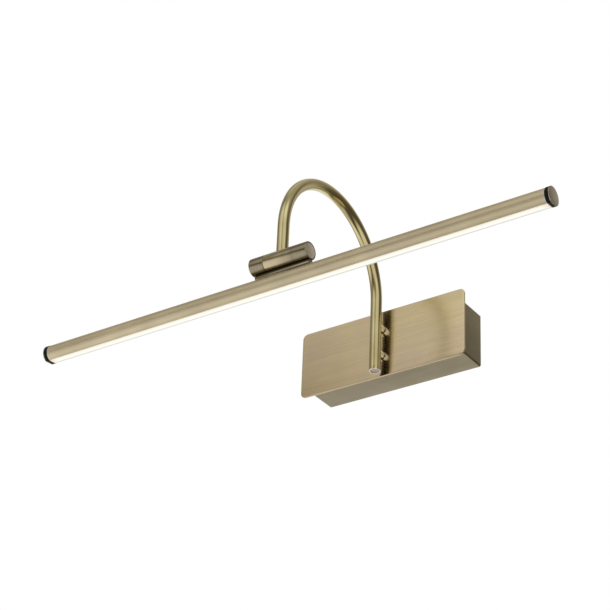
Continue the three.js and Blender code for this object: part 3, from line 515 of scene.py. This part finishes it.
plate_brass = brushed_brass(
    "plate_brass", (0.68, 0.56, 0.335), (0.61, 0.485, 0.345), (26, 1400, 1400), 0.2, patina=16.0)
box_brass = brushed_brass(
    "box_brass", (0.385, 0.335, 0.235), (0.32, 0.275, 0.195), (30, 900, 1300), 0.33)
# The arm's side turned to the wall gets painted shade below the plate's top.
tube_brass = brushed_brass(
    "tube_brass", (0.66, 0.58, 0.33), (0.54, 0.465, 0.25), (30, 900, 1), 0.1, "UV",
    painted_wall_shade=(plate_high.z + 10 * MM, plate_high.z), tones_and_shade=ARM_END_TONE)
head_brass = brushed_brass(
    "head_brass", (0.77, 0.665, 0.47), (0.67, 0.575, 0.405), (22, 1500, 1500), 0.44,
    rim=TUBE_HALF - RIM_W)
# The barrel's tones include painted shade on its underside.
turned_brass = brushed_brass(
    "turned_brass", (0.60, 0.51, 0.34), (0.46, 0.385, 0.255), (1500, 22, 22), 0.12,
    streak=0.45, depth=0.12, tones_and_shade=BARREL_TONES_AND_SHADE)
stud_brass = brushed_brass(
    "stud_brass", (0.92, 0.90, 0.84), (0.82, 0.80, 0.73), (900, 60, 900), 0.14, streak=0.2)
disc_brass = brushed_brass(
    "disc_brass", (0.86, 0.785, 0.70), (0.74, 0.67, 0.60), DISC_GRAIN, 0.3, streak=0.4)
cap_brass = brushed_brass(
    "cap_brass", (0.50, 0.43, 0.36), (0.41, 0.35, 0.29), DISC_GRAIN, 0.3, streak=0.4)
# The bar's neck carries painted shade.
bar_brass = brushed_brass(
    "bar_brass", (0.38, 0.32, 0.215), (0.30, 0.245, 0.16), (26, 1200, 1200), 0.14, tones_and_shade=BAR_NECK_SHADE)
zinc = coated("zinc_steel", (0.56, 0.57, 0.58), (0.47, 0.48, 0.50), 0.42, 900.0, 0.15, 1.0, 90.0)
plain_brass = coated("plain_brass", (0.66, 0.51, 0.24), (0.55, 0.42, 0.19), 0.3, 1200.0, 0.1, 1.0)
black_rubber = coated("black_rubber", (0.012, 0.012, 0.011), (0.02, 0.019, 0.018), 0.62)
black_gasket = coated(
    "black_gasket", (0.008, 0.0075, 0.007), (0.012, 0.011, 0.010), 0.5, 1600.0, 0.06, specular=0.12)
cable_sheath = coated("cable_sheath", (0.02, 0.02, 0.021), (0.028, 0.028, 0.028), 0.5, 1300.0)
white_case = coated("white_case", (0.78, 0.78, 0.76), (0.72, 0.72, 0.70), 0.5)
terminal_white = coated("terminal_white", (0.84, 0.82, 0.76), (0.78, 0.76, 0.70), 0.35)
board_white = coated("board_white", (0.83, 0.82, 0.76), (0.78, 0.77, 0.70), 0.45, 700.0)
pale_floor = coated("pale_floor", (0.94, 0.95, 0.97), (0.92, 0.93, 0.95), 0.8, 6.0, 0.0, 0.0, 0.4)
opal_white = opal("opal_white")


def give(obj, material):
    obj.data.materials.clear()
    obj.data.materials.append(material)


def piece(obj, body, material, slot, *replaced):
    """Gives an object its material and its body, and hides the frame nodes it stands for; slot is not used.
    """
    give(obj, material)
    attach(obj, body)
    if replaced:
        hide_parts(*replaced)
    return obj


# ------------------------------------------------------------ wall unit

PLATE_CORNER = 6 * MM
PLATE_EDGE = 0.55 * MM


def plate():
    """Flat plate with rounded corners, all its edges rolled over."""
    width, height = plate_high.x - plate_low.x, plate_high.z - plate_low.z
    loops = []
    for y, sign in ((plate_low.y, 1), (plate_high.y, -1)):
        side = []
        for inset, depth in rolled_edge(PLATE_EDGE, EDGE_STEPS):
            ring = rounded_rect(width - 2 * inset, height - 2 * inset, PLATE_CORNER - inset)
            side.append([(x, y + sign * depth, z) for x, z in ring])
        loops += side if sign > 0 else side[::-1]
    return new_object("face_plate", *bridge(loops))


def tray():
    """Pressed box: bent front edges, walls of thin sheet, open towards the wall."""
    wall, bend, ease = 1.2 * MM, 1.5 * MM, 0.2 * MM
    corner, tightest, corner_steps = 2.0 * MM, 0.3 * MM, 6
    width, height = box_high.x - box_low.x, box_high.z - box_low.z

    def ring(y, inset):
        radius = max(corner - inset, tightest)
        shape = rounded_rect(width - 2 * inset, height - 2 * inset, radius, corner_steps)
        return [(x, y, z) for x, z in shape]

    loops = [ring(box_low.y + depth, inset) for inset, depth in rolled_edge(bend, EDGE_STEPS)]
    loops += [
        ring(box_high.y - ease, 0),
        ring(box_high.y, ease),
        ring(box_high.y, wall - ease),
        ring(box_high.y - ease, wall),
        ring(box_low.y + wall, wall),
    ]
    return new_object("wall_box", *bridge(loops))


def screw_hole(node):
    """Cutter for a clearance hole through the top of the box."""
    low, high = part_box(node)
    radius, reach = 2.2 * MM, 10 * MM
    return rod("z", radius, box_high.z - reach, box_high.z + reach, (low + high) / 2)


screw_holes = [screw_hole(f"shell_screw_{side}") for side in ("left", "right")]
piece(carve(tray(), *screw_holes), "wall_unit", box_brass, "antique_brass_box", "box_shell")
piece(plate(), "wall_unit", plate_brass, "antique_brass_plate", "front_plate")

LEG_STEPS, BEND_STEPS = 12, 96
ARM_SIDES = 64
ARM_RIM = 0.4 * MM
ARM_END_Z = PIVOT.z + 2.8 * MM


def arm_route():
    """Points of the arm's centre line, from its lower end to the barrel."""
    route = []
    for i in range(LEG_STEPS):
        route.append((ARM_BACK_Y, ARM_BOTTOM_Z + (ARM_BEND_Z - ARM_BOTTOM_Z) * i / LEG_STEPS))
    for i in range(BEND_STEPS + 1):
        angle = math.pi * i / BEND_STEPS
        y = ARM_BACK_Y - ARM_BEND_R + ARM_BEND_R * math.cos(angle)
        route.append((y, ARM_BEND_Z + ARM_BEND_R * math.sin(angle)))
    for i in range(1, LEG_STEPS + 1):
        route.append((ARM_FRONT_Y, ARM_BEND_Z + (ARM_END_Z - ARM_BEND_Z) * i / LEG_STEPS))
    return [Vector((0, y, z)) for y, z in route]


def arm_tube():
    """Bent tube with a rolled rim at its lower end, and UV run along and around it."""
    route = arm_route()
    across = Vector((1, 0, 0))

    def ring(i, radius, slide=0.0):
        ahead = route[min(i + 1, len(route) - 1)] - route[max(i - 1, 0)]
        tangent = ahead.normalized()
        up = tangent.cross(across)
        centre = route[i] + tangent * slide
        angles = [2 * math.pi * s / ARM_SIDES for s in range(ARM_SIDES)]
        return [centre + across * radius * math.cos(a) + up * radius * math.sin(a) for a in angles]

    run = [0.0]
    for here, after in zip(route, route[1:]):
        run.append(run[-1] + (after - here).length)
    rim = rolled_edge(ARM_RIM, EDGE_STEPS)[:-1]
    loops = [ring(0, ARM_R - inset, depth) for inset, depth in rim]
    loops += [ring(i, ARM_R, 0.0 if i else ARM_RIM) for i in range(len(route))]
    loops += [ring(i, ARM_R - ARM_WALL) for i in reversed(range(len(route)))]
    lengths = [0.0] * len(rim) + run + run[::-1]

    obj = new_object("swan_neck", *bridge(loops, cyclic=True), sharp=ARM_SHARP)
    mesh = obj.data
    uv = mesh.uv_layers.new(name="run")
    for polygon in mesh.polygons:
        corners = [mesh.loops[i].vertex_index for i in polygon.loop_indices]
        wraps = {0, ARM_SIDES - 1} <= {c % ARM_SIDES for c in corners}
        for index, vertex in zip(polygon.loop_indices, corners):
            side = vertex % ARM_SIDES
            if wraps and side == 0:
                side = ARM_SIDES
            around = 2 * math.pi * ARM_R * side / ARM_SIDES
            uv.data[index].uv = (lengths[vertex // ARM_SIDES], around)
    return obj


piece(arm_tube(), "wall_unit", tube_brass, "antique_brass_tube", "arm_tube")

arm_at = Vector((0, ARM_BACK_Y, 0))


def arm_plug():
    """Plug with a shallow dish in its face, just inside the arm's lower end."""
    radius, rounding = 4.75 * MM, 0.25 * MM
    face, dish, top = (ARM_BOTTOM_Z + up * MM for up in (0.15, 0.55, 8))
    return soft_turned("arm_plug", "z", [
        (0, dish),
        (radius - 1.3 * MM, dish),
        (radius - 1.1 * MM, face),
        (radius, face),
        (radius, top),
        (0, top),
    ], arm_at, rounding, PLAIN_SIDES)


piece(arm_plug(), "wall_unit", cap_brass, "antique_brass_cap", "arm_end_plug")


def standoff(name, node):
    """Round stud with rounded ends, cut out to fit the arm."""
    low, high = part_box(node)
    radius, rounding = (high.x - low.x) / 2, 1.3 * MM
    foot = high.y - 0.1 * MM
    clearance, overshoot = 0.05 * MM, 5 * MM
    body = soft_turned(name, "y", [
        (0, low.y),
        (radius, low.y),
        (radius, foot),
        (0, foot),
    ], (low + high) / 2, rounding, PLAIN_SIDES)
    seat = rod("z", ARM_R + clearance, low.z - overshoot, high.z + overshoot, arm_at, SEAT_SIDES)
    return carve(body, seat)


for which in ("upper", "lower"):
    stud = standoff(f"{which}_stud", f"{which}_standoff")
    piece(stud, "wall_unit", stud_brass, "antique_brass_barrel", f"{which}_standoff")


def pan_screw(name, node):
    """Raised screw head with a cross recess, and its shank."""
    low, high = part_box(node)
    centre = (low + high) / 2
    head_r = (high.x - low.x) / 2
    shank_r, rounding = 1.9 * MM, 0.35 * MM
    seat = high.z - 2.2 * MM
    rim = seat + 0.9 * MM
    body = soft_turned(name, "z", [
        (0, low.z),
        (shank_r, low.z),
        (shank_r, seat),
        (head_r, seat),
        (head_r, rim),
        (head_r * 0.8, high.z - 0.35 * MM),
        (head_r * 0.45, high.z),
        (0, high.z),
    ], centre, rounding, PLAIN_SIDES)
    reach, thin, depth, above = head_r * 0.52, 0.42 * MM, 1.3 * MM, 1 * MM
    cutters = [
        block(centre.x - a, centre.x + a, centre.y - b, centre.y + b, high.z - depth, high.z + above)
        for a, b in ((reach, thin), (thin, reach))
    ]
    return carve(body, *cutters)


for side in ("left", "right"):
    screw = pan_screw(f"{side}_box_screw", f"shell_screw_{side}")
    piece(screw, "wall_unit", turned_brass, "antique_brass_box", f"shell_screw_{side}")


# ------------------------------------------------------------ pivot barrel

# The left seam shows as a groove; the right one is drawn almost closed, with a tight edge.
SEAM_CLOSE = 0.1 * MM
OPEN_EASE, TIGHT_EASE = 0.5 * MM, 0.06 * MM
STEP = 0.15 * MM
END_EASE = 0.7 * MM
SEAT_R, SEAT_DEPTH = 8.5 * MM, 3.2 * MM
KNUCKLE_ROUND, DISC_ROUND = 0.3 * MM, 0.35 * MM

closed_seam = SEAM + SEAM_CLOSE
middle = turned("barrel_middle", "x", [
    (0, -SEAM),
    (BARREL_R - OPEN_EASE, -SEAM),
    (BARREL_R - STEP, -SEAM + STEP),
    (BARREL_R, -SEAM + OPEN_EASE),
    (BARREL_R, closed_seam - TIGHT_EASE),
    (BARREL_R - TIGHT_EASE, closed_seam),
    (0, closed_seam),
], PIVOT, FINE_SIDES)
piece(middle, "wall_unit", turned_brass, "antique_brass_barrel", "centre_knuckle")


def outer_knuckle(side, sign, start, ease):
    """Outer part of the barrel with a seat for its disc; start and ease are at the seam."""
    return soft_turned(f"{side}_barrel", "x", [
        (0, sign * start),
        (BARREL_R - ease, sign * start),
        (BARREL_R, sign * (start + ease)),
        (BARREL_R, sign * (BARREL_HALF - END_EASE)),
        (BARREL_R - END_EASE, sign * BARREL_HALF),
        (SEAT_R, sign * BARREL_HALF),
        (SEAT_R, sign * (BARREL_HALF - SEAT_DEPTH)),
        (0, sign * (BARREL_HALF - SEAT_DEPTH)),
    ], PIVOT, KNUCKLE_ROUND, FINE_SIDES)


def barrel_disc(side, sign):
    """Flat disc that closes one end of the barrel."""
    low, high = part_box(f"{side}_barrel_cap")
    radius = (high.y - low.y) / 2
    inner, outer = (low.x, high.x) if sign > 0 else (high.x, low.x)
    return soft_turned(f"{side}_barrel_disc", "x", [
        (0, inner),
        (radius, inner),
        (radius, outer),
        (0, outer),
    ], PIVOT, DISC_ROUND, FINE_SIDES)


for side, sign, start, ease in (("left", -1, outer_low.x, OPEN_EASE),
                                ("right", 1, outer_low.x - SEAM_CLOSE, TIGHT_EASE)):
    knuckle = outer_knuckle(side, sign, start, ease)
    piece(knuckle, "head", turned_brass, "antique_brass_barrel", f"{side}_knuckle")
    disc = barrel_disc(side, sign)
    piece(disc, "head", disc_brass, "antique_brass_cap", f"{side}_barrel_cap")


# ------------------------------------------------------------ mounting bar and head

def arc(radius, start, end, steps, drop=0.0):
    """(y, z) points of an arc round a centre that lies a drop below the pivot."""
    return [
        (radius * math.cos(start + (end - start) * i / steps),
         radius * math.sin(start + (end - start) * i / steps) - drop)
        for i in range(steps + 1)
    ]


def along_x(name, outlines):
    """A skin over (x, outline) stations, in the head's own frame, turned into place."""
    loops = [[(x, y, z) for y, z in outline] for x, outline in outlines]
    obj = new_object(name, *bridge(loops), sharp=None)
    obj.data.transform(HEAD_TURN)
    return obj


def bar_outline():
    """Section of the bar: a wide foot on the head tube, a narrow neck under the barrel."""
    foot, neck, shoulder = 4.0 * MM, 2.8 * MM, -11.9 * MM
    soft, gap = 1.2 * MM, 0.3 * MM
    top_steps, bottom_steps, turn_steps = 10, 14, 5
    above = BARREL_R + gap
    below = HEAD_R + gap
    up = math.asin(neck / above)
    down = math.asin(foot / below)
    top = arc(above, -math.pi / 2 + up, -math.pi / 2 - up, top_steps)
    bottom = arc(below, math.pi / 2 + down, math.pi / 2 - down, bottom_steps, HEAD_DROP)
    turn = [math.pi / 2 * (1 + i / turn_steps) for i in range(turn_steps + 1)]
    left = [(-neck, shoulder)]
    left += [(soft - foot + soft * math.cos(a), shoulder - soft + soft * math.sin(a)) for a in turn]
    right = [(-y, z) for y, z in reversed(left)]
    return top + left + bottom + right


BAR_EDGE = 0.2 * MM
bar = softened(along_x("bar", [(x, bar_outline()) for x in (bar_low.x, bar_high.x)]), BAR_EDGE)
piece(bar, "head", bar_brass, "antique_brass_cap", "mount_bar")


def tube_outline(inset):
    """D-section of the head tube with its slot for the diffuser."""
    wall = 1.2 * MM
    outer_steps, inner_steps = 96, 64
    inner = HEAD_R - wall
    slot = FLAT_HALF - LIP_W
    lip_top = HEAD_FLAT - wall
    start = math.asin(lip_top / inner)
    outside = arc(HEAD_R - inset, math.pi + FLAT_ANGLE, -FLAT_ANGLE, outer_steps, HEAD_DROP)
    inside = arc(inner, -start, math.pi + start, inner_steps, HEAD_DROP)
    right = [(slot, -HEAD_FLAT + inset - HEAD_DROP), (slot, -lip_top - HEAD_DROP)]
    left = [(-slot, -lip_top - HEAD_DROP), (-slot, -HEAD_FLAT + inset - HEAD_DROP)]
    return outside + right + inside + left


def head_tube():
    """Extruded tube with a fine turned line near each end."""
    line, slope, ease = 0.1 * MM, 0.15 * MM, 0.2 * MM
    edge, turn_kept = 0.15 * MM, 50
    near = [(0, ease), (ease, 0), (RIM_W, 0), (RIM_W + slope, line),
            (RIM_W + 2 * slope, line), (RIM_W + 3 * slope, 0)]
    stations = [(-TUBE_HALF + x, inset) for x, inset in near]
    stations += [(-x, inset) for x, inset in reversed(stations)]
    outlines = [(x, tube_outline(inset)) for x, inset in stations]
    return softened(along_x("head_shell", outlines), edge, turn_kept)


piece(head_tube(), "head", head_brass, "brushed_head", "head_tube")


def diffuser_outline():
    """Section of the opal strip: a flange behind the lips and a face that stands a little proud."""
    gap, proud, edge, steps = 0.3 * MM, 0.5 * MM, 0.2 * MM, 4
    face = FLAT_HALF - LIP_W - gap
    low = -HEAD_FLAT - HEAD_DROP
    flange, flange_low, flange_high = 4.35 * MM, low + 1.5 * MM, low + 2.3 * MM
    corner = [
        (face - edge + edge * math.cos(a), low - proud + edge - edge * math.sin(a))
        for a in (math.pi / 2 * i / steps for i in range(steps + 1))
    ]
    far = [(flange, flange_high), (flange, flange_low), (face, flange_low), *corner]
    return far + [(-y, z) for y, z in reversed(far)]


def opal_strip():
    """The lit strip, with UV from -1 to 1 along it and across it."""
    outline = diffuser_outline()
    end_run = 8 * MM
    inner = STRIP_HALF - end_run
    stations = (-STRIP_HALF, -inner, inner, STRIP_HALF)
    obj = new_object("opal_strip", *bridge([[(x, y, z) for y, z in outline] for x in stations]))
    uv = obj.data.uv_layers.new(name="run")
    for loop in obj.data.loops:
        x, y, _ = obj.data.vertices[loop.vertex_index].co
        uv.data[loop.index].uv = (x / STRIP_HALF, y / FLAT_HALF)
    obj.data.transform(HEAD_TURN)
    return obj


piece(opal_strip(), "head", opal_white, "opal_diffuser", "diffuser")


def end_outline(grow):
    """The head's D outline grown all round, with its two corners rounded."""
    radius = HEAD_R + grow
    angle = math.asin((HEAD_FLAT + grow) / radius)
    soft, lift, steps = 1.2 * MM, 0.12 * MM, 72
    curve = arc(radius, math.pi + angle, -angle, steps, HEAD_DROP)
    a, b = Vector(curve[-1]), Vector(curve[0])
    toward = (b - a).normalized()
    corner_a = [a + toward * soft * t for t in (0.5, 1.0)]
    corner_b = [b - toward * soft * t for t in (1.0, 0.5)]
    points = [Vector(p) for p in curve]
    points[-1] += Vector((-lift, lift))
    points[0] += Vector((lift, lift))
    return [tuple(p) for p in points + corner_a + corner_b]


# Each cap covers half of its frame box; the gasket fills the rest, back to the head tube.
CAP_GROW, CAP_EDGE, CAP_STEPS = 0.5 * MM, 0.5 * MM, 4
GASKET_GROW, GASKET_EDGE, GASKET_GAP = 0.35 * MM, 0.25 * MM, 0.1 * MM

for side, sign in (("left", -1), ("right", 1)):
    low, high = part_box(f"{side}_end_cap")
    lap = (high.x - low.x) * 0.5
    face, seat = (high.x, low.x + lap) if sign > 0 else (low.x, high.x - lap)
    cap = prism_x(f"{side}_cap", end_outline(CAP_GROW), min(face, seat), max(face, seat),
                  CAP_EDGE, HEAD_TURN, CAP_STEPS)
    piece(cap, "head", cap_brass, "antique_brass_cap", f"{side}_end_cap")
    start, stop = sorted((sign * (TUBE_HALF + GASKET_GAP), sign * abs(seat)))
    gasket = prism_x(f"{side}_gasket", end_outline(GASKET_GROW), start, stop, GASKET_EDGE, HEAD_TURN)
    piece(gasket, "head", black_gasket, "black_gasket", f"{side}_cap_gasket")


# ------------------------------------------------------------ carried-over frame nodes

carried = {
    zinc: ["wall_bracket", "earth_washer", "terminal_fixing_screw", "shell_nut_left", "shell_nut_right",
           "arm_nipple", "nipple_washer", "nipple_nut", "arm_screw_washer", "arm_screw",
           "left_pivot_bolt", "right_pivot_nipple", "right_pivot_nut", "head_screw_left",
           "head_screw_right"],
    plain_brass: ["earth_screw", "terminal_screw_1", "terminal_screw_2", "terminal_screw_3"],
    black_rubber: ["entry_grommet", "driver_pad"],
    black_gasket: ["left_friction_washer", "right_friction_washer"],
    cable_sheath: ["driver_input_lead", "arm_lead", "head_lead"],
    white_case: ["driver_case", "driver_lid"],
    terminal_white: ["terminal_block"],
    board_white: ["led_board"],
}
for material, names in carried.items():
    for name in names:
        give(nodes[name], material)


# ------------------------------------------------------------ stage, light and camera

floor_corners = [(x * FLOOR_HALF, y * FLOOR_HALF, FLOOR_Z) for x, y in ((-1, -1), (1, -1), (1, 1), (-1, 1))]
floor = new_object("floor", floor_corners, [(0, 1, 2, 3)], sharp=None)
give(floor, pale_floor)
floor.visible_glossy = False


def studio_world():
    """White to the eye; to every surface, a soft studio made of an even level and the lobes."""
    world = bpy.data.worlds.new("studio")
    world.use_nodes = True
    tree = world.node_tree
    tree.nodes.clear()
    generated = add(tree, "ShaderNodeTexCoord").outputs["Generated"]
    lobes = []
    for direction, inner, outer, level in STUDIO_LOBES:
        dot = add(tree, "ShaderNodeVectorMath", operation="DOT_PRODUCT")
        tree.links.new(generated, dot.inputs[0])
        dot.inputs[1].default_value = Vector(direction).normalized()
        edge, core = math.cos(math.radians(outer)), math.cos(math.radians(inner))
        lobes.append(spread(tree, dot.outputs["Value"], edge, core, 0.0, level, "SMOOTHERSTEP"))
    total = lobes[0]
    for lobe in lobes[1:]:
        total = calculated(tree, "ADD", total, lobe)
    total = calculated(tree, "ADD", total, STUDIO_FLOOR)
    studio = add(tree, "ShaderNodeBackground")
    tint = blended(tree, spread(tree, total, *TINT_LEVELS), DIM_TINT, BRIGHT_TINT)
    tree.links.new(tint, studio.inputs["Color"])
    tree.links.new(total, studio.inputs["Strength"])
    white = add(tree, "ShaderNodeBackground")
    white.inputs["Color"].default_value = (1, 1, 1, 1)
    mix = add(tree, "ShaderNodeMixShader")
    tree.links.new(add(tree, "ShaderNodeLightPath").outputs["Is Camera Ray"], mix.inputs["Fac"])
    tree.links.new(studio.outputs[0], mix.inputs[1])
    tree.links.new(white.outputs[0], mix.inputs[2])
    tree.links.new(mix.outputs[0], add(tree, "ShaderNodeOutputWorld").inputs["Surface"])
    return world


scene.world = studio_world()

sin_a, cos_a = math.sin(CAMERA_AZIMUTH), math.cos(CAMERA_AZIMUTH)
sin_e, cos_e = math.sin(CAMERA_ELEVATION), math.cos(CAMERA_ELEVATION)
level = Vector((cos_a, sin_a, 0))
back = Vector((sin_a * cos_e, -cos_a * cos_e, sin_e))
upright = back.cross(level)
right = level * math.cos(CAMERA_ROLL) + upright * math.sin(CAMERA_ROLL)
up = -level * math.sin(CAMERA_ROLL) + upright * math.cos(CAMERA_ROLL)
place = right * AIM_RIGHT + up * AIM_UP + back * CAMERA_DISTANCE

camera_data = bpy.data.cameras.new("camera")
camera_data.sensor_width = CAMERA_SENSOR
camera_data.lens = CAMERA_LENS
camera_data.clip_start, camera_data.clip_end = CAMERA_CLIP
camera = bpy.data.objects.new("camera", camera_data)
scene.collection.objects.link(camera)
turn = Matrix((right, up, back)).transposed().to_4x4()
camera.matrix_world = Matrix.Translation(place) @ turn
scene.camera = camera
scene.view_settings.view_transform = "Standard"
scene.view_settings.look = "None"
